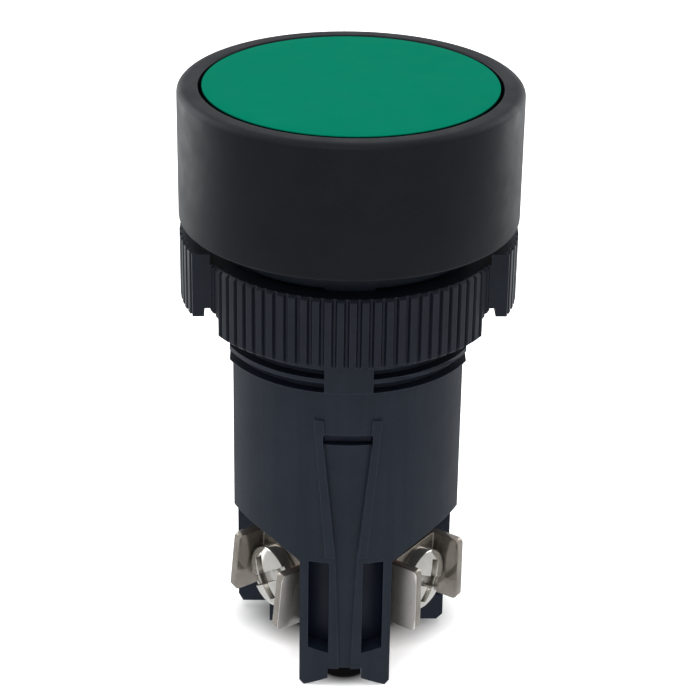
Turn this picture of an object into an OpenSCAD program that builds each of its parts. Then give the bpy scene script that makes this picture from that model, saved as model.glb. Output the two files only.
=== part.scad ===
// Flush push button of the 22 mm panel class, made as one unit: a round collar with a green
// cap, a threaded barrel that ends in two slotted legs, a knurled ring nut with two ears, and
// one normally open contact with two screw clamps between the legs.
// The origin is on the button's axis, in the plane where the gasket meets the panel's face.
// +Z points at the cap, and the screw clamps open towards -Y.

/* [Collar and cap] */
// Outside diameter of the collar
collar_d = 29.1; // [28.6:0.1:30]
// Height of the collar's rim above the panel
collar_h = 11.8; // [11.8:0.1:12.6]
// Diameter of the cap
cap_d = 24.9; // [24.4:0.1:25]
// How far the button travels when it is pressed
travel = 4; // [3:0.1:4]
// Radius of the rim's rounded edge
rim_round = 0.6; // [0.4:0.1:1]

/* [Barrel] */
// Diameter over the thread
thread_d = 22.3; // [22.2:0.05:22.4]
// Diameter of the plain barrel below the thread
barrel_d = 21.9; // [21.8:0.05:22]
// Width across the plain barrel's two flats
flats_w = 19.7; // [19.6:0.05:20]
// Width across the thread's two flats
thread_flats_w = 20.3; // [19.8:0.05:20.4]
// Pitch of the thread
pitch = 1.25; // [1.2:0.05:1.3]
// Length from the panel to the feet
body_l = 41; // [41:0.1:42]
// Width of each leg
leg_w = 8; // [7.8:0.1:8.4]

/* [Ring nut] */
// Diameter over the knurled ring
nut_d = 26.2; // [26:0.1:26.4]
// Diameter over the two ears
ears_d = 29; // [28.4:0.1:29]
// Width of each ear
ear_w = 11.8; // [10:0.1:12.4]
// Height of the ring
nut_h = 6.25; // [5.5:0.05:6.5]
// Number of teeth round the ring
teeth = 80; // [60:2:90]
// Depth of the grooves between the teeth
tooth_depth = 0.3; // [0.2:0.05:0.35]

/* [Screw clamps] */
// Angle of each clamp from the X axis
clamp_angle = 36; // [34:1:38]
// Height of the clamps' screws below the panel
clamp_z = 33.15; // [33:0.05:33.6]
// Width of a clamp
clamp_w = 7.5; // [7.2:0.1:7.5]
// Height of a clamp
clamp_h = 6.1; // [5.8:0.1:6.2]
// How far the left clamp stands open
open_left = 1.65; // [0.2:0.05:1.8]
// How far the right clamp stands open
open_right = 2.25; // [0.2:0.05:2.3]
// Thread diameter of the clamp screws
screw_d = 3.5; // [3:0.5:3.5]

/* [Hidden] */
$fn = 96;
eps = 0.05;
cap_green = "#00856a";
black = "#23262c";
rubber = "#17181a";
ivory = "#d9d6cc";
nickel = "#c9c5bb";
copper = "#b8744a";
silver = "#dcdcda";
steel = "#8d8f92";

// Collar: a web under the rim sits on the gasket and carries the barrel's flange
collar_r = collar_d / 2;
collar_bottom = 0.18;
web_top = 2.4;
web_hole_r = thread_d / 2 + 0.05;
collar_bore_r = cap_d / 2 + 0.3;
gasket_r = 13;
gasket_top = 1.06;

// Barrel
thread_r = thread_d / 2;
barrel_r = barrel_d / 2;
bore_r = 9.1;
guide_r = 8.6;
guide_bottom = -4.5;
flange_top = web_top + 1;
flange_r = collar_bore_r - 0.35;
guide_collar_r = 10.4;
guide_collar_top = flange_top + 1.2;
seal_seat_r = 9.6;
thread_end = -11.6;
groove_root_r = 10.3;
groove_w = pitch - 0.22;
groove_slope = 0.15;
key_w = 4.1;
skirt_z = -25.8;
leg_z = -28.4;
foot_gap_w = 2.96;
foot_gap_z = 2;
slot_in = 1.45;
slot_out = 3.25;
slot_end_out = -37;
slot_end_in = -37.4;
window_w = 4.2;
window_top = -15.6;
window_bottom = -16.65;
rib_top = -14.2;
rib_bottom = -27.5;
recess_r = barrel_r - 0.25;
rib_r = barrel_r + 0.2;

// Ring nut
nut_top = -2.1;
nut_bottom = nut_top - nut_h;
nut_bore_r = thread_r + 0.07;
nut_flats_w = 22.2;
step_low = -6.6;
step_high = -6.1;
lip_x = 12.3;
ear_top = -1.15;
ear_bottom = -6.86;
nut_turn = 1;

// Cap and plunger
cap_r = cap_d / 2;
cap_plate = 1.6;
cap_skirt_h = collar_h - flange_top - travel - 0.2;
snap_r = 10.02;
snap_h = 1.3;
plunger_r = 8.4;
plunger_top = collar_h - cap_plate;
plunger_bottom = -6;
plunger_web = 3.8;
plunger_web_t = 1.5;
plunger_bore_r = 7;
plunger_head_r = 9.9;
plunger_head_t = 1.4;
stop_flange_h = 1.4;
stem_r = 1.5;

// Contact block and the parts in its chamber
chamber_r = 7.8;
block_r = 8.8;
cover_bottom = -13.65;
cover_top = -12.5;
floor_top = -24;
floor_bottom = -26.2;
wing_y = 1.8;
wing_t = 1.4;
wing_half = 9.75;
wing_left_z = -39.9;
wing_left_corner = 0.8;
wing_right_z = -39.4;
wing_right_corner = 1;
left_lug = [-6.8, -1.8, -39.8];
left_lug_size = [0.7, 4, 2];
right_lug = [6.9, -0.6, -40.3];
right_lug_size = [2.3, 2.8, 2.6];
front_column_y = -7.8;
partition_w = 2.4;
partition_y = -3.5;
pad_bottom = -30.8;
pad_t = 1.05;
column_half = 3.3;
column_bottom = -39.5;
plate_rho = 3.8;
plate_t = 0.9;
plate_half = 2.8;
plate_bottom = -38;
tab_top = -21;
tab_t = 0.8;
tab_l = 3.2;
tab_w = 2.8;
tip_x = 4.4;
tip_r = 1.2;
tip_t = 0.5;
contact_gap = 2.5;
bridge_bottom = tab_top + 2 * tip_t + contact_gap;
bridge_t = 0.6;
carrier_top = -13;
carrier_half = 1.5;
stirrup_half = 2.9;
stirrup_inner_half = 1.7;
stirrup_bar = 1.4;

// Clamps and screws, measured outwards from the axis
sheet_t = 0.8;
clamp_depth = 3.5;
corner_r = 0.5;
closed_rho = plate_rho + plate_t;
rho_left = closed_rho + open_left;
rho_right = closed_rho + open_right;
azimuth_left = 180 + clamp_angle;
azimuth_right = -clamp_angle;
left_tilt = -8;
screw_r = screw_d / 2;
head_r = 2.8;
head_h = 1.3;
head_dome = 0.6;
dome_r = 7;
slot_w = 0.9;
cross_half = 2;
shank_l = 4;
head_gap = 0.02;

// A ring between two radii and two heights
module ring(outer, inner, low, high) {
    difference() {
        translate([0, 0, low]) cylinder(r = outer, h = high - low);
        translate([0, 0, low - 1]) cylinder(r = inner, h = high - low + 2);
    }
}

// A box that is centred on the YZ plane
module centred_box(width, y_low, y_high, z_low, z_high) {
    translate([-width / 2, y_low, z_low]) cube([width, y_high - y_low, z_high - z_low]);
}

// An outline in the XZ plane, carried through the whole part along Y
module through_y(points) {
    translate([0, 20, 0]) rotate([90, 0, 0]) linear_extrude(40) polygon(points);
}

// The same on the right half and, mirrored, on the left half
module both_through_y(points) {
    through_y(points);
    mirror([1, 0, 0]) through_y(points);
}

// A frame at a clamp: +X points outwards along the screw, the middle of the clamp is at Z 0
module at_clamp(azimuth, rho) {
    rotate([0, 0, azimuth]) translate([rho, 0, -clamp_z]) children();
}

// Points of a toothed circle with flat-topped teeth
function toothed(r, n, depth) = [
    for (i = [0 : n - 1], k = [[-0.27, 0], [0.27, 0], [0.41, depth], [0.59, depth]])
        let (a = 360 * (i + k[0]) / n) [(r - k[1]) * cos(a), (r - k[1]) * sin(a)]
];

// A coil spring with its ends on two planes
module coil(r, wire_r, low, high, turns) {
    sides = 8;
    steps = turns * 20;
    rise = high - low - 2 * wire_r;
    points = [
        for (i = [0 : steps], k = [0 : sides - 1])
            let (a = 360 * i / 20, b = 360 * k / sides, d = r + wire_r * cos(b))
            [d * cos(a), d * sin(a), low + wire_r + rise * i / steps + wire_r * sin(b)]
    ];
    walls = [
        for (i = [0 : steps - 1], k = [0 : sides - 1])
            [i * sides + k, (i + 1) * sides + k, (i + 1) * sides + (k + 1) % sides,
                i * sides + (k + 1) % sides]
    ];
    first = [for (k = [0 : sides - 1]) k];
    last = [for (k = [sides - 1 : -1 : 0]) steps * sides + k];
    polyhedron(points, concat([first, last], walls), convexity = 10);
}

// Collar with a rounded rim and a recess for the gasket
module bezel() {
    color(black)
    rotate_extrude()
    difference() {
        union() {
            translate([web_hole_r, collar_bottom])
                square([collar_r - web_hole_r, collar_h - collar_bottom - rim_round]);
            translate([web_hole_r, collar_h - 2 * rim_round])
                square([collar_r - web_hole_r - rim_round, 2 * rim_round]);
            translate([collar_r - rim_round, collar_h - rim_round]) circle(r = rim_round);
        }
        translate([0, web_top]) square([collar_bore_r, collar_h]);
        translate([0, -1]) square([gasket_r + eps, gasket_top + 0.02 + 1]);
        translate([collar_r - 0.3, collar_bottom - 0.3]) rotate(45) square(0.6, center = true);
    }
}

// Flat gasket that stands a little proud of the collar
module panel_gasket() {
    color(rubber) ring(gasket_r, web_hole_r + 0.15, 0, gasket_top);
}

// The barrel's round wall with its two flats
module flat_sided(r, width, low, high) {
    intersection() {
        translate([0, 0, low]) cylinder(r = r, h = high - low);
        centred_box(width, -20, 20, low - 1, high + 1);
    }
}

// Right half of the barrel's lower edge, its leg and its foot, seen along Y
lower_half = [
    [0, thread_end], [12, thread_end], [12, skirt_z + 0.5], [9.4, skirt_z], [7.7, skirt_z - 0.5],
    [6.3, skirt_z - 1.1], [leg_w / 2 + 0.4, leg_z + 0.35], [leg_w / 2, leg_z],
    [leg_w / 2, -body_l + 0.4], [leg_w / 2 - 0.4, -body_l], [foot_gap_w / 2, 1 - body_l],
    [foot_gap_w / 2, foot_gap_z - body_l], [0, foot_gap_z - body_l]
];

// Right slot of a leg, with its slanting lower end
leg_slot = [
    [slot_in, leg_z + 0.25], [slot_out, leg_z + 0.25],
    [slot_out, slot_end_out], [slot_in, slot_end_in]
];

// Right edge of the tapering recess below the latch window
recess_half = [
    [0, window_bottom + 0.3], [window_w / 2, window_bottom + 0.3], [0.95, rib_bottom],
    [0.43, -body_l], [0, -body_l]
];

// Right guide rib beside the latch window
guide_rib = [
    [window_w / 2, rib_top], [2.9, rib_top], [1.8, rib_bottom], [1, rib_bottom]
];

// Thread, plain barrel, flange, legs, latch windows and guide ribs
module barrel() {
    color(black)
    difference() {
        union() {
            flat_sided(thread_r, thread_flats_w, thread_end, web_top);
            intersection() {
                flat_sided(barrel_r, flats_w, -body_l, thread_end + eps);
                both_through_y(lower_half);
            }
            translate([0, 0, web_top]) cylinder(r = flange_r, h = flange_top - web_top);
            translate([0, 0, web_top]) cylinder(r = guide_collar_r, h = guide_collar_top - web_top);
            intersection() {
                ring(rib_r, bore_r + 0.4, rib_bottom, rib_top);
                both_through_y(guide_rib);
            }
        }
        difference() {
            for (z = [thread_end + groove_w / 2 : pitch : -2])
                translate([0, 0, z]) rotate_extrude()
                    polygon([[groove_root_r, groove_slope - groove_w / 2], [thread_r + 1, -groove_w / 2],
                        [thread_r + 1, groove_w / 2], [groove_root_r, groove_w / 2 - groove_slope]]);
            centred_box(key_w, -20, 20, thread_end - 1, 0);
        }
        difference() {
            both_through_y(recess_half);
            translate([0, 0, -body_l - 1]) cylinder(r = recess_r, h = body_l);
        }
        both_through_y(leg_slot);
        centred_box(window_w, -20, 20, window_bottom, window_top);
        translate([0, 0, -body_l - 1]) cylinder(r = bore_r, h = body_l + 1 + guide_bottom);
        translate([0, 0, guide_bottom - 1]) cylinder(r = guide_r, h = 20);
        translate([0, 0, flange_top]) cylinder(r = seal_seat_r, h = 5);
    }
}

// The ring's toothed body, with its lower sides cut flat and its edges chamfered
module nut_ring() {
    cut_low = nut_flats_w / 2;
    difference() {
        intersection() {
            translate([0, 0, nut_bottom]) linear_extrude(nut_h)
                polygon(toothed(nut_d / 2, teeth, tooth_depth));
            rotate_extrude() polygon([
                [0, nut_bottom], [nut_d / 2 - 0.2, nut_bottom], [nut_d / 2 + 0.05, nut_bottom + 0.25],
                [nut_d / 2 + 0.05, nut_top - 0.3], [nut_d / 2 - 0.25, nut_top], [0, nut_top]
            ]);
        }
        both_through_y([[cut_low, nut_bottom - 1], [cut_low, step_low], [cut_low + 1.2, step_high],
            [cut_low + 5, step_high], [cut_low + 5, nut_bottom - 1]]);
    }
}

// One ear, on the +X side: a web on the ring and a ribbed lip that reaches lower
module nut_ear() {
    difference() {
        intersection() {
            translate([0, 0, ear_bottom]) linear_extrude(ear_top - ear_bottom)
                polygon(toothed(ears_d / 2, teeth + 8, tooth_depth));
            union() {
                translate([11, -ear_w / 2, step_high]) cube([5, ear_w, 6]);
                translate([lip_x, -ear_w / 2, ear_bottom]) cube([5, ear_w, 6]);
            }
        }
        translate([0, 0, nut_top]) cylinder(r = gasket_r + 0.15, h = 5);
    }
}

// Ring nut with two ears
module ring_nut() {
    color(black)
    rotate([0, 0, nut_turn])
    difference() {
        union() {
            nut_ring();
            nut_ear();
            rotate([0, 0, 180]) nut_ear();
        }
        translate([0, 0, nut_bottom - 1]) cylinder(r = nut_bore_r, h = nut_h + 4);
    }
}

// Green cap: a plate, a skirt and a snap ring round the plunger's head
module cap() {
    color(cap_green)
    rotate_extrude()
    difference() {
        union() {
            translate([0, plunger_top]) square([cap_r, cap_plate]);
            translate([cap_r - 1.15, collar_h - cap_skirt_h]) square([1.15, cap_skirt_h]);
            translate([snap_r, plunger_top - snap_h]) square([0.8, snap_h + 0.1]);
        }
        translate([cap_r, collar_h]) rotate(45) square(0.45, center = true);
    }
}

// Hollow plunger with a head, a web over the spring and a stop flange
module plunger() {
    color(ivory)
    difference() {
        union() {
            translate([0, 0, plunger_bottom])
                cylinder(r = plunger_r, h = plunger_top - plunger_bottom);
            translate([0, 0, plunger_top - snap_h]) cylinder(r = plunger_head_r, h = snap_h);
            translate([0, 0, plunger_bottom]) cylinder(r = bore_r - 0.2, h = stop_flange_h);
        }
        translate([0, 0, plunger_bottom - 1])
            cylinder(r = plunger_bore_r, h = plunger_web - plunger_bottom + 1);
        translate([0, 0, plunger_web + plunger_web_t])
            cylinder(r = plunger_bore_r, h = plunger_top - plunger_head_t - plunger_web - plunger_web_t);
    }
}

// Lip seal in the barrel's collar
module plunger_seal() {
    color(rubber) ring(seal_seat_r - eps, plunger_r + 0.04, flange_top, guide_collar_top - 0.05);
}

// Return spring between the block's cover and the plunger's web
module return_spring() {
    color(steel) coil(5.2, 0.35, cover_top, plunger_web, 8);
}

// Half of a wing's outline, from the column outwards, to a given depth and corner
module wing(side, depth, corner) {
    translate([0, wing_y + wing_t, 0]) rotate([90, 0, 0]) linear_extrude(wing_t)
        polygon([[0, floor_bottom], [side * wing_half, floor_bottom],
            [side * wing_half, depth + corner], [side * (wing_half - corner / 2), depth], [0, depth]]);
}

// Insulating block: chamber, latch hooks, partition, columns behind the legs and two wings
module contact_block() {
    color(black)
    difference() {
        union() {
            ring(block_r, chamber_r, floor_bottom, cover_bottom);
            translate([0, 0, floor_bottom]) cylinder(r = block_r, h = floor_top - floor_bottom);
            for (side = [0, 180])
                rotate([0, 0, side])
                    centred_box(window_w - 0.2, block_r - 0.5, barrel_r - 0.9, window_bottom + 0.05,
                        window_top - 0.05);
            intersection() {
                translate([0, 0, column_bottom])
                    cylinder(r = bore_r - 0.1, h = floor_top - column_bottom);
                union() {
                    centred_box(2 * column_half, wing_y, 10, column_bottom, floor_bottom + 1);
                    centred_box(2 * column_half, -10, front_column_y, column_bottom, floor_bottom + 1);
                    centred_box(partition_w, -8, partition_y, column_bottom, floor_bottom + 1);
                }
            }
            wing(-1, wing_left_z, wing_left_corner);
            wing(1, wing_right_z, wing_right_corner);
            translate(left_lug) cube(left_lug_size);
            difference() {
                translate(right_lug) cube(right_lug_size);
                translate([right_lug.x + right_lug_size.x, -1, right_lug.z]) rotate([0, 45, 0])
                    cube([0.8, 8, 0.8], center = true);
            }
            for (azimuth = [azimuth_left, azimuth_right])
                rotate([0, 0, azimuth])
                    translate([plate_rho - eps - pad_t, -plate_half + 0.6, pad_bottom])
                        cube([pad_t, 2 * plate_half - 1.2, 5]);
        }
        for (azimuth = [azimuth_left, azimuth_right])
            rotate([0, 0, azimuth])
                translate([plate_rho - eps, -plate_half - eps, plate_bottom - 3])
                    cube([plate_t + 2 * eps, 2 * (plate_half + eps), 20]);
    }
}

// Cover of the chamber: the return spring's seat, with an opening that guides the carrier
module block_cover() {
    color(ivory)
    difference() {
        translate([0, 0, cover_bottom]) cylinder(r = block_r - 0.05, h = cover_top - cover_bottom);
        centred_box(2 * carrier_half + 0.5, -3.15, 3.15, cover_bottom - 1, cover_top + 1);
    }
}

// Stem and stirrup that carry the bridge
module contact_carrier() {
    color(ivory)
    difference() {
        union() {
            translate([0, 0, carrier_top]) cylinder(r = stem_r, h = plunger_web - carrier_top);
            centred_box(2 * carrier_half, -stirrup_half, stirrup_half, bridge_bottom - stirrup_bar,
                carrier_top + 1.2);
        }
        centred_box(10, -stirrup_inner_half, stirrup_inner_half, bridge_bottom, carrier_top);
    }
}

// Contact spring between the stirrup and the bridge
module contact_spring() {
    color(steel) coil(1.15, 0.17, bridge_bottom + bridge_t, carrier_top, 6);
}

// Moving bridge: a strip with rounded ends
module contact_bridge() {
    color(copper)
    translate([0, 0, bridge_bottom]) linear_extrude(bridge_t) {
        square([2 * tip_x, 3], center = true);
        for (side = [-1, 1])
            translate([side * tip_x, 0]) circle(r = 1.5);
    }
}

// A round contact tip
module tip(side, low) {
    color(silver) translate([side * tip_x, 0, low]) cylinder(r = tip_r, h = tip_t);
}

module bridge_tip_left() {
    tip(-1, bridge_bottom - tip_t);
}

module bridge_tip_right() {
    tip(1, bridge_bottom - tip_t);
}

module fixed_tip_left() {
    tip(-1, tab_top);
}

module fixed_tip_right() {
    tip(1, tab_top);
}

// Fixed contact: a plate with the clamp screw's threaded hole, and a tab under the tip
module fixed_contact(azimuth, side) {
    color(copper)
    difference() {
        union() {
            rotate([0, 0, azimuth]) translate([plate_rho, -plate_half, plate_bottom])
                cube([plate_t, 2 * plate_half, tab_top - plate_bottom]);
            translate([side * 4.6 - tab_l / 2, -tab_w / 2, tab_top - tab_t]) cube([tab_l, tab_w, tab_t]);
        }
        at_clamp(azimuth, plate_rho - 1) rotate([0, 90, 0]) cylinder(r = screw_r + 0.05, h = 4);
    }
}

module fixed_contact_left() {
    fixed_contact(azimuth_left, -1);
}

module fixed_contact_right() {
    fixed_contact(azimuth_right, 1);
}

// Clamp: a plate with two flanges, and rounded corners at the flanges' tips
module terminal_clamp(azimuth, rho, tilt) {
    half = clamp_w / 2;
    color(nickel)
    at_clamp(azimuth, rho) rotate([tilt, 0, 0])
    difference() {
        intersection() {
            translate([0, 0, -clamp_h / 2]) linear_extrude(clamp_h)
            difference() {
                union() {
                    translate([sheet_t, -half]) square([clamp_depth - sheet_t, clamp_w]);
                    translate([0, -half + sheet_t]) square([clamp_depth, clamp_w - 2 * sheet_t]);
                    for (side = [-1, 1])
                        translate([sheet_t, side * (half - sheet_t)]) circle(r = sheet_t);
                }
                translate([sheet_t, -half + sheet_t])
                    square([clamp_depth, clamp_w - 2 * sheet_t]);
            }
            rotate([90, 0, 0]) translate([0, 0, -half - 1]) linear_extrude(clamp_w + 2)
            union() {
                translate([-corner_r, -clamp_h / 2]) square([clamp_depth, clamp_h]);
                translate([0, corner_r - clamp_h / 2]) square([clamp_depth, clamp_h - 2 * corner_r]);
                for (side = [-1, 1])
                    translate([clamp_depth - corner_r, side * (clamp_h / 2 - corner_r)])
                        circle(r = corner_r);
            }
        }
        rotate([0, 90, 0]) translate([0, 0, -1]) cylinder(r = screw_r + 0.2, h = 3);
    }
}

module terminal_clamp_left() {
    terminal_clamp(azimuth_left, rho_left, left_tilt);
}

module terminal_clamp_right() {
    terminal_clamp(azimuth_right, rho_right, 0);
}

// Pan-head screw with a straight slot across a cross recess
module terminal_screw(azimuth, rho, turn) {
    color(nickel)
    at_clamp(azimuth, rho + sheet_t + head_gap) rotate([turn, 0, 0]) rotate([0, 90, 0])
    difference() {
        union() {
            translate([0, 0, -shank_l]) cylinder(r = screw_r, h = shank_l + 0.5);
            cylinder(r = head_r, h = head_h);
            intersection() {
                cylinder(r = head_r, h = head_h + head_dome);
                translate([0, 0, head_h + head_dome - dome_r]) sphere(r = dome_r);
            }
        }
        translate([-4, -slot_w / 2, 1]) cube([8, slot_w, 3]);
        for (a = [0, 90])
            rotate([0, 0, a]) translate([-cross_half, -0.5, 0.6]) cube([2 * cross_half, 1, 3]);
    }
}

module terminal_screw_left() {
    terminal_screw(azimuth_left, rho_left, -55);
}

module terminal_screw_right() {
    terminal_screw(azimuth_right, rho_right, 62);
}

bezel();
panel_gasket();
barrel();
ring_nut();
cap();
plunger();
plunger_seal();
return_spring();
contact_block();
block_cover();
contact_carrier();
contact_spring();
contact_bridge();
bridge_tip_left();
bridge_tip_right();
fixed_contact_left();
fixed_contact_right();
fixed_tip_left();
fixed_tip_right();
terminal_clamp_left();
terminal_clamp_right();
terminal_screw_left();
terminal_screw_right();
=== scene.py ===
"""Looks of a flush green push button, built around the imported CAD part.

Metres, in the part's own frame: the origin is on the axis in the plane of the panel's face,
+Z points at the cap and the screw clamps open towards -Y. Sizes below are in millimetres.
"""
import math

import bmesh
import bpy
from mathutils import Matrix, Vector


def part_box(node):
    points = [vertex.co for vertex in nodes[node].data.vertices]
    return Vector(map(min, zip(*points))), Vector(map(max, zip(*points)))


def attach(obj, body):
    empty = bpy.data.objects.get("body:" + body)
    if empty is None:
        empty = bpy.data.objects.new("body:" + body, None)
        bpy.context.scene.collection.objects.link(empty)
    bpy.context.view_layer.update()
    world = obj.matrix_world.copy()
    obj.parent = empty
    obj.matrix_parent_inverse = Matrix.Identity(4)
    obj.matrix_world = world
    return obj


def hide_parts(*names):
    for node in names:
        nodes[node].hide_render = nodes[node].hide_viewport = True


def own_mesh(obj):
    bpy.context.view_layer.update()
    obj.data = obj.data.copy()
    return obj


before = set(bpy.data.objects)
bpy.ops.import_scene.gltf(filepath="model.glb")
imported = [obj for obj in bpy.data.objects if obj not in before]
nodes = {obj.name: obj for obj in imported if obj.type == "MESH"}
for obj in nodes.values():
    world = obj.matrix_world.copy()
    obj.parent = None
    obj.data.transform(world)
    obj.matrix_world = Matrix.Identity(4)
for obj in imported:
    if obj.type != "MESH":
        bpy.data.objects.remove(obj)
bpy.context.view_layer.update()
scene = bpy.context.scene
MM = 0.001
FOOT_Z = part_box("barrel")[0].z
RIM_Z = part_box("bezel")[1].z


# ---------------------------------------------------------------- shader helpers
class Shader:
    """A Principled material with small helpers that return sockets."""

    def __init__(self, name, **values):
        self.mat = bpy.data.materials.new(name)
        self.mat.use_nodes = True
        self.tree = self.mat.node_tree
        self.bsdf = self.tree.nodes["Principled BSDF"]
        self.coords = self.node("ShaderNodeTexCoord").outputs["Object"]
        for key, value in values.items():
            self.bsdf.inputs[key.replace("_", " ")].default_value = value

    def node(self, kind, **props):
        made = self.tree.nodes.new(kind)
        for key, value in props.items():
            setattr(made, key, value)
        return made

    def link(self, source, target):
        self.tree.links.new(source, target)

    def feed(self, node, key, value):
        if isinstance(value, bpy.types.NodeSocket):
            self.link(value, node.inputs[key])
        else:
            node.inputs[key].default_value = value

    def noise(self, size_mm, detail=2.0, stretch=(1, 1, 1), rough=0.5, shift=0.0):
        """Noise with features about size_mm wide, longer along an axis where stretch is above 1."""
        mapping = self.node("ShaderNodeMapping")
        self.link(self.coords, mapping.inputs["Vector"])
        mapping.inputs["Location"].default_value = (shift, shift * 0.7, shift * 1.3)
        mapping.inputs["Scale"].default_value = [1 / (size_mm * MM * s) for s in stretch]
        made = self.node("ShaderNodeTexNoise")
        self.link(mapping.outputs[0], made.inputs["Vector"])
        made.inputs["Scale"].default_value = 1.0
        made.inputs["Detail"].default_value = detail
        made.inputs["Roughness"].default_value = rough
        return made.outputs["Fac"]

    def remap(self, value, low, high, to_low, to_high):
        made = self.node("ShaderNodeMapRange")
        self.feed(made, "Value", value)
        ends = {"From Min": low, "From Max": high, "To Min": to_low, "To Max": to_high}
        for key, number in ends.items():
            made.inputs[key].default_value = number
        return made.outputs[0]

    def math(self, operation, a, b=0.0):
        made = self.node("ShaderNodeMath", operation=operation)
        self.feed(made, 0, a)
        self.feed(made, 1, b)
        return made.outputs[0]

    def mix(self, fac, a, b):
        made = self.node("ShaderNodeMix", data_type="RGBA")
        self.feed(made, 0, fac)
        for index, colour in ((6, a), (7, b)):
            self.feed(made, index, colour if isinstance(colour, bpy.types.NodeSocket) else (*colour, 1))
        return made.outputs[2]

    def bumps(self, edge_mm, *layers):
        """Chains bump layers (height, depth_mm) on an edge rounded by edge_mm."""
        bevel = self.node("ShaderNodeBevel", samples=6)
        bevel.inputs["Radius"].default_value = edge_mm * MM
        normal = bevel.outputs[0]
        for height, depth in layers:
            bump = self.node("ShaderNodeBump")
            bump.inputs["Strength"].default_value = 1.0
            bump.inputs["Distance"].default_value = depth * MM
            self.link(height, bump.inputs["Height"])
            self.link(normal, bump.inputs["Normal"])
            normal = bump.outputs[0]
        self.link(normal, self.bsdf.inputs["Normal"])
        return normal

    def edges(self, width_mm, low=0.02, high=0.25):
        """1 along sharp edges, 0 on open faces."""
        bevel = self.node("ShaderNodeBevel", samples=6)
        bevel.inputs["Radius"].default_value = width_mm * MM
        geometry = self.node("ShaderNodeNewGeometry")
        dot = self.node("ShaderNodeVectorMath", operation="DOT_PRODUCT")
        self.link(bevel.outputs[0], dot.inputs[0])
        self.link(geometry.outputs["Normal"], dot.inputs[1])
        away = self.math("SUBTRACT", 1.0, dot.outputs["Value"])
        return self.remap(away, low, high, 0.0, 1.0)


def plastic(name, dark, light, rough, grain_mm, grain_depth, level, edge_light=0.0, streak=0.0,
            tint=(0.86, 0.92, 1.0)):
    """Moulded plastic: cloudy tone, fine grain, faint flow streaks and paler worn edges."""
    s = Shader(name, Specular_IOR_Level=level)
    s.bsdf.inputs["Specular Tint"].default_value = (*tint, 1)
    cloud = s.remap(s.noise(4.5, 4, rough=0.6), 0.3, 0.7, 0.0, 1.0)
    speck = s.remap(s.noise(0.25, 3, shift=3.1), 0.35, 0.65, -0.25, 0.25)
    tone = s.math("ADD", cloud, speck)
    if streak:
        flow = s.remap(s.noise(0.7, 3, (1, 1, 22), shift=7.7), 0.35, 0.65, -streak, streak)
        tone = s.math("ADD", tone, flow)
    colour = s.mix(tone, dark, light)
    if edge_light:
        wear = s.remap(s.noise(0.8, 3, shift=1.9), 0.3, 0.7, 0.2, edge_light)
        worn = s.math("MULTIPLY", s.edges(0.16), wear)
        colour = s.mix(worn, colour, [min(1, 4 * c + 0.012) for c in light])
    s.link(colour, s.bsdf.inputs["Base Color"])
    patch = s.remap(s.noise(2.2, 4, shift=5.3), 0.3, 0.7, rough - 0.05, rough + 0.05)
    s.link(patch, s.bsdf.inputs["Roughness"])
    s.bumps(0.08, (s.noise(5, 2, shift=2.2), 0.03), (s.noise(grain_mm, 2, shift=9.4), grain_depth))
    return s.mat


def cap_plastic(name):
    """Matte green plastic with painted shade: its edge turns near black where it drops below the collar's
    rim into the gap.
    """
    s = Shader(name, Specular_IOR_Level=0.005)
    s.bsdf.inputs["Specular Tint"].default_value = (0.05, 0.75, 0.5, 1)
    cloud = s.remap(s.noise(5, 4, rough=0.55), 0.3, 0.7, 0.0, 1.0)
    speck = s.remap(s.noise(0.22, 3, shift=3.1), 0.35, 0.65, -0.3, 0.3)
    colour = s.mix(s.math("ADD", cloud, speck), (0.0, 0.1235, 0.0725), (0.0, 0.128, 0.0755))
    # Painted shade: the green turns near black just below the collar's rim, along a rippled line.
    split = s.node("ShaderNodeSeparateXYZ")
    s.link(s.coords, split.inputs[0])
    ripple = s.math("MULTIPLY", s.noise(0.6, 2, shift=6.6), 0.03 * MM)
    depth = s.math("SUBTRACT", RIM_Z, s.math("ADD", split.outputs["Z"], ripple))
    colour = s.mix(s.remap(depth, 0.0, 0.1 * MM, 0.0, 1.0), colour, (0.0, 0.006, 0.005))
    s.link(colour, s.bsdf.inputs["Base Color"])
    s.link(s.remap(s.noise(2.2, 4, shift=5.3), 0.3, 0.7, 0.48, 0.6), s.bsdf.inputs["Roughness"])
    s.bumps(0.03, (s.noise(0.06, 2, shift=9.4), 0.003))
    return s.mat


def metal(name, bright, dull, rough, streak=(1, 1, 1), stain=None, edge_mm=0.06,
          metallic=1.0, painted_shade=0.0, shade_reach=1.2, shade_span=(0.25, 0.75), own_hollows=True):
    """Plated or rolled metal: drawn streaks, a few stains, and painted shade in hollows and where
    surfaces are close together.
    """
    s = Shader(name, Metallic=metallic)
    tone = s.remap(s.noise(2.2, 3, shift=1.3), 0.35, 0.7, 0.0, 1.0)
    colour = s.mix(tone, bright, dull)
    if stain:
        spots = s.remap(s.noise(0.9, 5, rough=0.65, shift=4.4), 0.6, 0.76, 0.0, 0.55)
        colour = s.mix(spots, colour, stain)
    # Painted shade: the colour darkens towards a dim copy of the stain colour where ambient occlusion
    # finds hollows or nearby surfaces.
    if painted_shade:
        hollow = s.node("ShaderNodeAmbientOcclusion", samples=8, only_local=own_hollows)
        hollow.inputs["Distance"].default_value = shade_reach * MM
        shade_mask = s.remap(hollow.outputs["AO"], *shade_span, painted_shade, 0.0)
        colour = s.mix(shade_mask, colour, [0.35 * c for c in stain])
    s.link(colour, s.bsdf.inputs["Base Color"])
    lines = s.noise(0.05, 3, streak, shift=6.1)
    s.link(s.remap(lines, 0.3, 0.7, rough - 0.05, rough + 0.06), s.bsdf.inputs["Roughness"])
    s.bumps(edge_mm, (s.noise(1.8, 2, shift=8.2), 0.012), (lines, 0.0006))
    return s.mat


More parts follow.
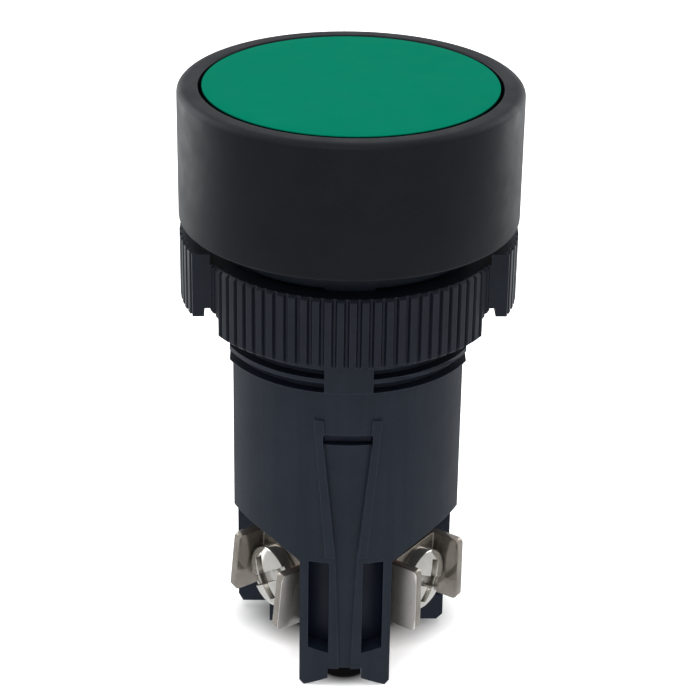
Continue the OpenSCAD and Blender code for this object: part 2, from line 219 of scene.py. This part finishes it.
def rubber(name):
    s = Shader(name, Specular_IOR_Level=0.12)
    dust = s.remap(s.noise(0.5, 5, rough=0.7), 0.45, 0.75, 0.0, 0.5)
    s.link(s.mix(dust, (0.0022, 0.0023, 0.0026), (0.006, 0.006, 0.0066)), s.bsdf.inputs["Base Color"])
    s.link(s.remap(s.noise(1.5, 3), 0.3, 0.7, 0.68, 0.85), s.bsdf.inputs["Roughness"])
    s.bumps(0.1, (s.noise(0.12, 3), 0.012))
    return s.mat


MATERIALS = {
    "bezel_black": plastic("bezel_black", (0.0024, 0.0027, 0.0045), (0.004, 0.0042, 0.0062),
                           rough=0.46, grain_mm=0.09, grain_depth=0.006, level=0.17, edge_light=0.2),
    "barrel_black": plastic("barrel_black", (0.0052, 0.008, 0.0145), (0.0078, 0.011, 0.0185),
                            rough=0.4, grain_mm=0.11, grain_depth=0.004, level=0.24, edge_light=0.5,
                            streak=0.35),
    "nut_black": plastic("nut_black", (0.0045, 0.006, 0.0105), (0.007, 0.009, 0.0145),
                         rough=0.44, grain_mm=0.11, grain_depth=0.005, level=0.22, edge_light=0.35),
    "block_black": plastic("block_black", (0.004, 0.0062, 0.0145), (0.0058, 0.0086, 0.019),
                           rough=0.46, grain_mm=0.12, grain_depth=0.005, level=0.25, edge_light=0.3),
    "cap_green": cap_plastic("cap_green"),
    "ivory": plastic("ivory", (0.62, 0.6, 0.53), (0.7, 0.68, 0.61),
                     rough=0.42, grain_mm=0.1, grain_depth=0.005, level=0.5),
    "rubber": rubber("rubber"),
    # Painted shade near the leg darkens the flanges' roots, standing in for the leg's reflection in them.
    "nickel": metal("nickel", (0.78, 0.755, 0.72), (0.7, 0.675, 0.64), 0.19, (1, 1, 14),
                    stain=(0.3, 0.27, 0.225), metallic=0.6, painted_shade=0.96, shade_reach=3.0,
                    shade_span=(0.4, 0.7), own_hollows=False),
    # Painted shade: a darker copy of nickel for the clamps' inner faces.
    "nickel_inside_shaded": metal("nickel_inside_shaded", (0.31, 0.282, 0.25), (0.23, 0.208, 0.18), 0.17, (1, 1, 14),
                           stain=(0.2, 0.155, 0.11), metallic=0.8),
    "screw_nickel": metal("screw_nickel", (0.62, 0.605, 0.57), (0.52, 0.505, 0.47), 0.14,
                          stain=(0.32, 0.28, 0.22), edge_mm=0.04, metallic=0.85, painted_shade=0.8),
    "copper": metal("copper", (0.86, 0.47, 0.34), (0.72, 0.36, 0.25), 0.24, (1, 1, 12),
                    stain=(0.4, 0.17, 0.11)),
    "silver": metal("silver", (0.88, 0.88, 0.87), (0.7, 0.7, 0.69), 0.22),
    "steel": metal("steel", (0.55, 0.56, 0.57), (0.4, 0.4, 0.41), 0.26, (1, 1, 4)),
}

NODE_MATERIAL = {
    "bezel": "bezel_black", "panel_gasket": "rubber", "barrel": "barrel_black", "ring_nut": "nut_black",
    "cap": "cap_green", "plunger": "ivory", "plunger_seal": "rubber", "return_spring": "steel",
    "contact_block": "block_black", "block_cover": "ivory", "contact_carrier": "ivory",
    "contact_spring": "steel", "contact_bridge": "copper", "bridge_tip_left": "silver",
    "bridge_tip_right": "silver", "fixed_contact_left": "copper", "fixed_contact_right": "copper",
    "fixed_tip_left": "silver", "fixed_tip_right": "silver", "terminal_clamp_left": "nickel",
    "terminal_clamp_right": "nickel", "terminal_screw_left": "screw_nickel",
    "terminal_screw_right": "screw_nickel",
}
for name, key in NODE_MATERIAL.items():
    nodes[name].data.materials.clear()
    nodes[name].data.materials.append(MATERIALS[key])


# ---------------------------------------------------------------- detailed pieces
def arc(x, z, rx, rz, start, end, steps=8):
    """Points of an elliptical arc in mm, with angles in degrees."""
    turns = [math.radians(start + (end - start) * i / steps) for i in range(steps + 1)]
    return [(x + rx * math.cos(a), z + rz * math.sin(a)) for a in turns]


def lathe(name, profile, body, material, stands_for, sides=192):
    """A closed ring turned from a profile of (radius, height) points in mm."""
    count = len(profile)
    points, faces = [], []
    for i in range(sides):
        a = math.tau * i / sides
        points += [(r * MM * math.cos(a), r * MM * math.sin(a), z * MM) for r, z in profile]
    for i in range(sides):
        j = (i + 1) % sides
        for k in range(count):
            m = (k + 1) % count
            faces.append((i * count + k, j * count + k, j * count + m, i * count + m))
    return add_piece(name, points, faces, body, material, stands_for)


def turned_solid(name, profile, body, material, stands_for, sides=192):
    """A solid turned from a profile that starts and ends on the axis."""
    ring_points = profile[1:-1]
    count = len(ring_points)
    points, faces = [], []
    for i in range(sides):
        a = math.tau * i / sides
        points += [(r * MM * math.cos(a), r * MM * math.sin(a), z * MM) for r, z in ring_points]
    first, last = len(points), len(points) + 1
    points += [(0, 0, profile[0][1] * MM), (0, 0, profile[-1][1] * MM)]
    for i in range(sides):
        j = (i + 1) % sides
        for k in range(count - 1):
            faces.append((i * count + k, j * count + k, j * count + k + 1, i * count + k + 1))
        faces.append((first, j * count, i * count))
        faces.append((last, i * count + count - 1, j * count + count - 1))
    return add_piece(name, points, faces, body, material, stands_for)


def add_piece(name, points, faces, body, material, stands_for):
    mesh = bpy.data.meshes.new(name)
    mesh.from_pydata(points, [], faces)
    shape = bmesh.new()
    shape.from_mesh(mesh)
    bmesh.ops.recalc_face_normals(shape, faces=shape.faces)
    shape.to_mesh(mesh)
    shape.free()
    mesh.shade_smooth()
    mesh.set_sharp_from_angle(angle=math.radians(28))
    mesh.materials.append(MATERIALS[material])
    piece = bpy.data.objects.new(name, mesh)
    scene.collection.objects.link(piece)
    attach(piece, body)
    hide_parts(stands_for)
    return piece


def mm_box(node):
    low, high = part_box(node)
    return low / MM, high / MM


collar_low, collar_high = mm_box("bezel")
cap_low, cap_high = mm_box("cap")
collar_r, cap_r = collar_high.x, cap_high.x
GAP, WEB_TOP, HOLE_R, RECESS_R, RECESS_TOP = 0.3, 2.4, 11.2, 13.05, 1.08
bore = cap_r + GAP
collar_profile = (
    [(HOLE_R, RECESS_TOP), (RECESS_R, RECESS_TOP)]
    + [(RECESS_R, collar_low.z + 0.1), (RECESS_R + 0.1, collar_low.z)]
    + arc(collar_r - 0.3, collar_low.z + 0.3, 0.3, 0.3, -90, 0, 5)
    + [(collar_r, 4.0), (collar_r, 8.0)]
    + arc(collar_r - 0.85, collar_high.z - 0.6, 0.85, 0.6, 0, 90, 14)
    + [(bore + 0.5, collar_high.z - 0.005)]
    + arc(bore + 0.16, collar_high.z - 0.16, 0.16, 0.155, 90, 180, 6)
    + [(bore, WEB_TOP + 0.2), (bore - 0.2, WEB_TOP), (HOLE_R, WEB_TOP)])
lathe("collar_shell", collar_profile, "housing", "bezel_black", "bezel")

SKIRT_T, SNAP_R, SNAP_LOW, PLATE_LOW, EDGE = 1.15, 10.02, 8.9, 10.2, 0.07
cap_profile = (
    [(0, cap_high.z), (4, cap_high.z), (8, cap_high.z), (11, cap_high.z)]
    + arc(cap_r - EDGE, cap_high.z - EDGE, EDGE, EDGE, 90, 0, 5)
    + [(cap_r, cap_low.z + 0.15), (cap_r - 0.15, cap_low.z), (cap_r - SKIRT_T + 0.1, cap_low.z)]
    + [(cap_r - SKIRT_T, cap_low.z + 0.1), (cap_r - SKIRT_T, PLATE_LOW - 0.2)]
    + [(cap_r - SKIRT_T - 0.2, PLATE_LOW), (SNAP_R + 0.8, PLATE_LOW)]
    + [(SNAP_R + 0.8, SNAP_LOW), (SNAP_R, SNAP_LOW), (SNAP_R, PLATE_LOW), (0, PLATE_LOW)])
turned_solid("cap_shell", cap_profile, "button", "cap_green", "cap")


def coil(name, radius, wire, turns, stands_for):
    """A spring on the button, wound to the height of the CAD node that it stands for."""
    low, high = (corner.z for corner in mm_box(stands_for))
    around, sides = 48, 12
    steps = turns * around
    rise = high - low - 2 * wire
    closed = 2 * wire
    heights = {0: 0.0, around: closed, steps - around: rise - closed, steps: rise}
    marks = sorted(heights)
    points = []
    for i in range(steps + 1):
        k = max(n for n in range(len(marks) - 1) if marks[n] <= i)
        share = (i - marks[k]) / (marks[k + 1] - marks[k])
        z = low + wire + heights[marks[k]] + share * (heights[marks[k + 1]] - heights[marks[k]])
        a = math.tau * i / around
        for n in range(sides):
            b = math.tau * n / sides
            reach = radius + wire * math.cos(b)
            points.append(Vector((reach * math.cos(a), reach * math.sin(a), z + wire * math.sin(b))) * MM)
    faces = [tuple(range(sides)), tuple(steps * sides + n for n in reversed(range(sides)))]
    for i in range(steps):
        for n in range(sides):
            m = (n + 1) % sides
            faces.append((i * sides + n, (i + 1) * sides + n, (i + 1) * sides + m, i * sides + m))
    piece = add_piece(name, points, faces, "button", "steel", stands_for)
    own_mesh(piece)


coil("return_coil", 5.2, 0.35, 8, "return_spring")
coil("contact_coil", 1.15, 0.17, 6, "contact_spring")


# Clamps and screws. These numbers are the ones of the CAD nodes that the pieces stand for
CLAMP_ANGLE, CLAMP_Z, CLAMP_W, CLAMP_H, CLAMP_DEPTH = 36, 33.15, 7.5, 6.1, 3.5
SHEET_T, CORNER_R, CLOSED_RHO, SCREW_R = 0.8, 0.5, 4.7, 1.75
HEAD_R, HEAD_H, DOME_H, DOME_R = 2.8, 1.3, 0.6, 7.0
HEAD_GAP, SHANK_L, SLOT_W, CROSS_HALF = 0.02, 4.0, 0.9, 2.0


def place(azimuth, rho, turn):
    """From a frame whose +X points outwards along the screw to the part's frame."""
    return (Matrix.Rotation(math.radians(azimuth), 4, "Z")
            @ Matrix.Translation(Vector((rho, 0, -CLAMP_Z)) * MM)
            @ Matrix.Rotation(math.radians(turn), 4, "X"))


def cutter_object(shape):
    mesh = bpy.data.meshes.new("cutter")
    shape.to_mesh(mesh)
    shape.free()
    cutter = bpy.data.objects.new("cutter", mesh)
    scene.collection.objects.link(cutter)
    return cutter


def box_cutter(size, at):
    """A box in mm, centred at a point, used once to cut a piece."""
    shape = bmesh.new()
    bmesh.ops.create_cube(shape, size=1.0)
    bmesh.ops.scale(shape, vec=Vector(size) * MM, verts=shape.verts)
    bmesh.ops.translate(shape, vec=Vector(at) * MM, verts=shape.verts)
    return cutter_object(shape)


def rod_cutter(radius, start, end):
    """A rod along X in mm, used once to cut a piece."""
    shape = bmesh.new()
    bmesh.ops.create_cone(shape, cap_ends=True, segments=64, radius1=radius * MM, radius2=radius * MM,
                          depth=(end - start) * MM)
    middle = Matrix.Translation(Vector(((start + end) / 2, 0, 0)) * MM)
    shape.transform(middle @ Matrix.Rotation(math.pi / 2, 4, "Y"))
    return cutter_object(shape)


def settle(piece, cutters, edge_mm, segments, angle=50):
    """Cuts a piece, rounds its sharp edges and keeps the result as plain mesh."""
    for cutter in cutters:
        cut = piece.modifiers.new("cut", "BOOLEAN")
        cut.operation, cut.solver, cut.object = "DIFFERENCE", "EXACT", cutter
    bevel = piece.modifiers.new("edges", "BEVEL")
    bevel.width, bevel.segments = edge_mm * MM, segments
    bevel.limit_method, bevel.angle_limit = "ANGLE", math.radians(angle)
    bevel.use_clamp_overlap = True
    bpy.context.view_layer.update()
    shown = piece.evaluated_get(bpy.context.evaluated_depsgraph_get())
    mesh = bpy.data.meshes.new_from_object(shown)
    piece.modifiers.clear()
    piece.data = mesh
    for cutter in cutters:
        bpy.data.objects.remove(cutter)
    mesh.shade_smooth()
    mesh.set_sharp_from_angle(angle=math.radians(38))


def sheet_outline():
    """Stations along the middle of the bent sheet, from one flange's tip to the other's."""
    middle = SHEET_T / 2
    half = CLAMP_W / 2 - middle
    bend = SHEET_T * 0.55 + 0.1
    straight = CLAMP_DEPTH - middle - bend
    steps = [0, 0.03, 0.08, 0.15, 0.25, 0.38, 0.5]
    run = [(CLAMP_DEPTH - d, -half, d) for d in steps]
    run += [(CLAMP_DEPTH - d, -half, d) for d in (1.2, straight)]
    for k in range(1, 9):
        a = math.radians(90 * k / 8)
        run.append((middle + bend * (1 - math.sin(a)), -half + bend * (1 - math.cos(a)), 9))
    left = run + [(middle, -1.0, 9)]
    return left + [(x, -y, d) for x, y, d in reversed(left)]


def clamp(name, azimuth, rho, tilt, body, stands_for):
    """Bent plate with rounded corners, a hole for the screw and softened edges."""
    rows = 6
    points, faces = [], []
    outline = sheet_outline()
    for x, y, d in outline:
        drop = CORNER_R - math.sqrt(max(0, CORNER_R ** 2 - max(0, CORNER_R - d) ** 2))
        top = CLAMP_H / 2 - drop
        points += [(x * MM, y * MM, top * (2 * k / rows - 1) * MM) for k in range(rows + 1)]
    for i in range(len(outline) - 1):
        for k in range(rows):
            a = i * (rows + 1) + k
            faces.append((a, a + rows + 1, a + rows + 2, a + 1))
    mesh = bpy.data.meshes.new(name)
    mesh.from_pydata(points, [], faces)
    # The inner faces take the darker painted-shade copy of nickel, the outer faces plain nickel.
    mesh.materials.append(MATERIALS["nickel_inside_shaded"])
    mesh.materials.append(MATERIALS["nickel"])
    piece = bpy.data.objects.new(name, mesh)
    scene.collection.objects.link(piece)
    thick = piece.modifiers.new("sheet", "SOLIDIFY")
    thick.thickness, thick.offset = SHEET_T * MM, 0
    thick.use_even_offset = True
    thick.material_offset = 1
    settle(piece, [rod_cutter(SCREW_R + 0.2, -1, 2)], edge_mm=0.13, segments=3)
    piece.data.transform(place(azimuth, rho, tilt))
    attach(piece, body)
    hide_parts(stands_for)


def screw(name, azimuth, rho, turn, body, stands_for):
    """Combination-head screw: rounded rim, dome, a slot through the rim and a cross recess."""
    sides = 72
    dome_centre = HEAD_H + DOME_H - DOME_R
    rim = math.sqrt(DOME_R ** 2 - HEAD_R ** 2) + dome_centre
    profile = [(0, -SHANK_L), (SCREW_R - 0.25, -SHANK_L), (SCREW_R, -SHANK_L + 0.25)]
    z = -SHANK_L + 0.45
    while z < -0.7:
        profile += [(SCREW_R, z), (SCREW_R - 0.3, z + 0.28), (SCREW_R, z + 0.56)]
        z += 0.6
    profile += [(SCREW_R, 0), (HEAD_R - 0.12, 0), (HEAD_R, 0.12), (HEAD_R, rim - 0.2)]
    profile += arc(HEAD_R - 0.2, rim - 0.2, 0.2, 0.2, 15, 75, 4)
    for r in (2.4, 1.9, 1.4, 0.9, 0.4):
        profile.append((r, math.sqrt(DOME_R ** 2 - r * r) + dome_centre))
    profile.append((0, HEAD_H + DOME_H))
    points, faces = [], []
    body_points = profile[1:-1]
    count = len(body_points)
    for i in range(sides):
        a = math.tau * i / sides
        points += [(h * MM, r * math.cos(a) * MM, r * math.sin(a) * MM) for r, h in body_points]
    points += [(profile[0][1] * MM, 0, 0), (profile[-1][1] * MM, 0, 0)]
    for i in range(sides):
        j = (i + 1) % sides
        for k in range(count - 1):
            faces.append((i * count + k, j * count + k, j * count + k + 1, i * count + k + 1))
        faces.append((len(points) - 2, j * count, i * count))
        faces.append((len(points) - 1, i * count + count - 1, j * count + count - 1))
    mesh = bpy.data.meshes.new(name)
    mesh.from_pydata(points, [], faces)
    shape = bmesh.new()
    shape.from_mesh(mesh)
    bmesh.ops.recalc_face_normals(shape, faces=shape.faces)
    shape.to_mesh(mesh)
    shape.free()
    mesh.materials.append(MATERIALS["screw_nickel"])
    piece = bpy.data.objects.new(name, mesh)
    scene.collection.objects.link(piece)
    cutters = [box_cutter((3, SLOT_W, 8), (2.5, 0, 0)),
               box_cutter((3, 1.0, 2 * CROSS_HALF), (2.1, 0, 0)),
               box_cutter((3, 2 * CROSS_HALF, 1.0), (2.1, 0, 0))]
    settle(piece, cutters, edge_mm=0.05, segments=2)
    piece.data.transform(place(azimuth, rho + SHEET_T + HEAD_GAP, turn))
    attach(piece, body)
    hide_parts(stands_for)


for side, azimuth, gap_mm, tilt, turn in (("left", 180 + CLAMP_ANGLE, 1.65, -8, -55),
                                          ("right", -CLAMP_ANGLE, 2.25, 0, 62)):
    rho = CLOSED_RHO + gap_mm
    clamp("clamp_plate_" + side, azimuth, rho, tilt, "clamp_" + side, "terminal_clamp_" + side)
    screw("clamp_screw_" + side, azimuth, rho, turn, "screw_" + side, "terminal_screw_" + side)


# ---------------------------------------------------------------- camera
# Fitted to the ellipses of the cap, collar, nut and thread. The lens is in mm on a 36 mm sensor
PITCH, ROLL, YAW = math.radians(25.99), math.radians(0.92), math.radians(-0.08)
TURN = math.radians(-1.0)
LENS = 117.45
CAMERA_AT = Vector((0, -180.45, 75.10)) * MM

cos_p, sin_p, cos_r, sin_r = math.cos(PITCH), math.sin(PITCH), math.cos(ROLL), math.sin(ROLL)
right, up, ahead = Vector((1, 0, 0)), Vector((0, sin_p, cos_p)), Vector((0, cos_p, -sin_p))
axes = Matrix((cos_r * right + sin_r * up, -sin_r * right + cos_r * up, -ahead)).transposed()
spin = Matrix.Rotation(TURN, 3, "Z")
camera_data = bpy.data.cameras.new("camera")
camera_data.sensor_width = 36
camera_data.lens = LENS
camera_data.clip_start, camera_data.clip_end = 0.01, 20
camera = bpy.data.objects.new("camera", camera_data)
scene.collection.objects.link(camera)
turned = (spin @ Matrix.Rotation(YAW, 3, "Z") @ axes).to_4x4()
camera.matrix_world = Matrix.Translation(spin @ CAMERA_AT) @ turned
scene.camera = camera


# ---------------------------------------------------------------- floor and light
floor_mesh = bpy.data.meshes.new("floor")
REACH = 3.0
corners = ((-1, -1), (1, -1), (1, 1), (-1, 1))
floor_mesh.from_pydata([(x * REACH, y * REACH, FOOT_Z) for x, y in corners], [], [(0, 1, 2, 3)])
floor = bpy.data.objects.new("floor", floor_mesh)
scene.collection.objects.link(floor)
floor_paint = Shader("floor_paint", Specular_IOR_Level=0.0, Roughness=1.0)
floor_split = floor_paint.node("ShaderNodeSeparateXYZ")
floor_paint.link(floor_paint.coords, floor_split.inputs[0])


# The soft contact shadow under the part is painted on the floor
def contact(centre, radii, inner):
    """Mask of the painted shadow: 0 under the part and 1 beyond an ellipse on the floor, in mm."""
    squares = []
    for axis, middle, radius in zip("XY", centre, radii):
        offset = floor_paint.math("SUBTRACT", floor_split.outputs[axis], middle * MM)
        share = floor_paint.math("DIVIDE", offset, radius * MM)
        squares.append(floor_paint.math("MULTIPLY", share, share))
    reach = floor_paint.math("SQRT", floor_paint.math("ADD", *squares))
    return floor_paint.remap(reach, inner, 1.0, 0.0, 1.0)


# Painted shadow: one patch under the block and one between the feet, near black at their middles.
clear = floor_paint.math("MULTIPLY", floor_paint.math("POWER", contact((0, 1.9), (12.2, 7.4), 0.47), 0.8),
                         contact((0, -6.5), (3.9, 4.45), 0.6))
floor_tone = floor_paint.mix(floor_paint.noise(30, 2), (0.92, 0.92, 0.92), (0.94, 0.94, 0.94))
floor_colour = floor_paint.mix(clear, (0.02, 0.02, 0.022), floor_tone)
floor_paint.link(floor_colour, floor_paint.bsdf.inputs["Base Color"])
# Painted light: the floor glows outside the painted shadow, washing out the part's real shadows there.
floor_paint.link(floor_paint.mix(clear, (0, 0, 0), (1, 1, 1)), floor_paint.bsdf.inputs["Emission Color"])
floor_paint.bsdf.inputs["Emission Strength"].default_value = 0.42
floor_mesh.materials.append(floor_paint.mat)
floor.visible_glossy = False

world = bpy.data.worlds.new("studio")
scene.world = world
world.use_nodes = True
tree = world.node_tree
back = tree.nodes["Background"]
coord = tree.nodes.new("ShaderNodeTexCoord")
split = tree.nodes.new("ShaderNodeSeparateXYZ")
ramp = tree.nodes.new("ShaderNodeValToRGB")
tree.links.new(coord.outputs["Generated"], split.inputs[0])
tree.links.new(split.outputs["Z"], ramp.inputs[0])
tree.links.new(ramp.outputs[0], back.inputs["Color"])
ramp.color_ramp.elements[0].position = 0.0
ramp.color_ramp.elements[0].color = (0.97, 0.985, 1.0, 1)
ramp.color_ramp.elements[1].position = 1.0
ramp.color_ramp.elements[1].color = (1.0, 1.0, 1.0, 1)
back.inputs["Strength"].default_value = 0.8


def area_light(name, at, aim, size, power, mirrored=False):
    data = bpy.data.lights.new(name, "AREA")
    data.shape = "RECTANGLE"
    data.size, data.size_y = size[0] * MM, size[1] * MM
    data.energy = power
    light = bpy.data.objects.new(name, data)
    scene.collection.objects.link(light)
    light.location = Vector(at) * MM
    away = light.location - Vector(aim) * MM
    light.rotation_euler = away.to_track_quat("Z", "Y").to_euler()
    light.visible_glossy = mirrored


area_light("key_top", (0, -60, 420), (0, 0, 0), (420, 420), 1.6)
area_light("side_left", (-270, 200, 60), (0, 0, -10), (300, 420), 0.9, mirrored=True)
area_light("side_right", (270, 240, 60), (0, 0, -10), (220, 420), 0.65, mirrored=True)
area_light("spark", (-60, -150, 330), (0, 0, -30), (50, 50), 0.12, mirrored=True)

scene.view_settings.view_transform = "Standard"
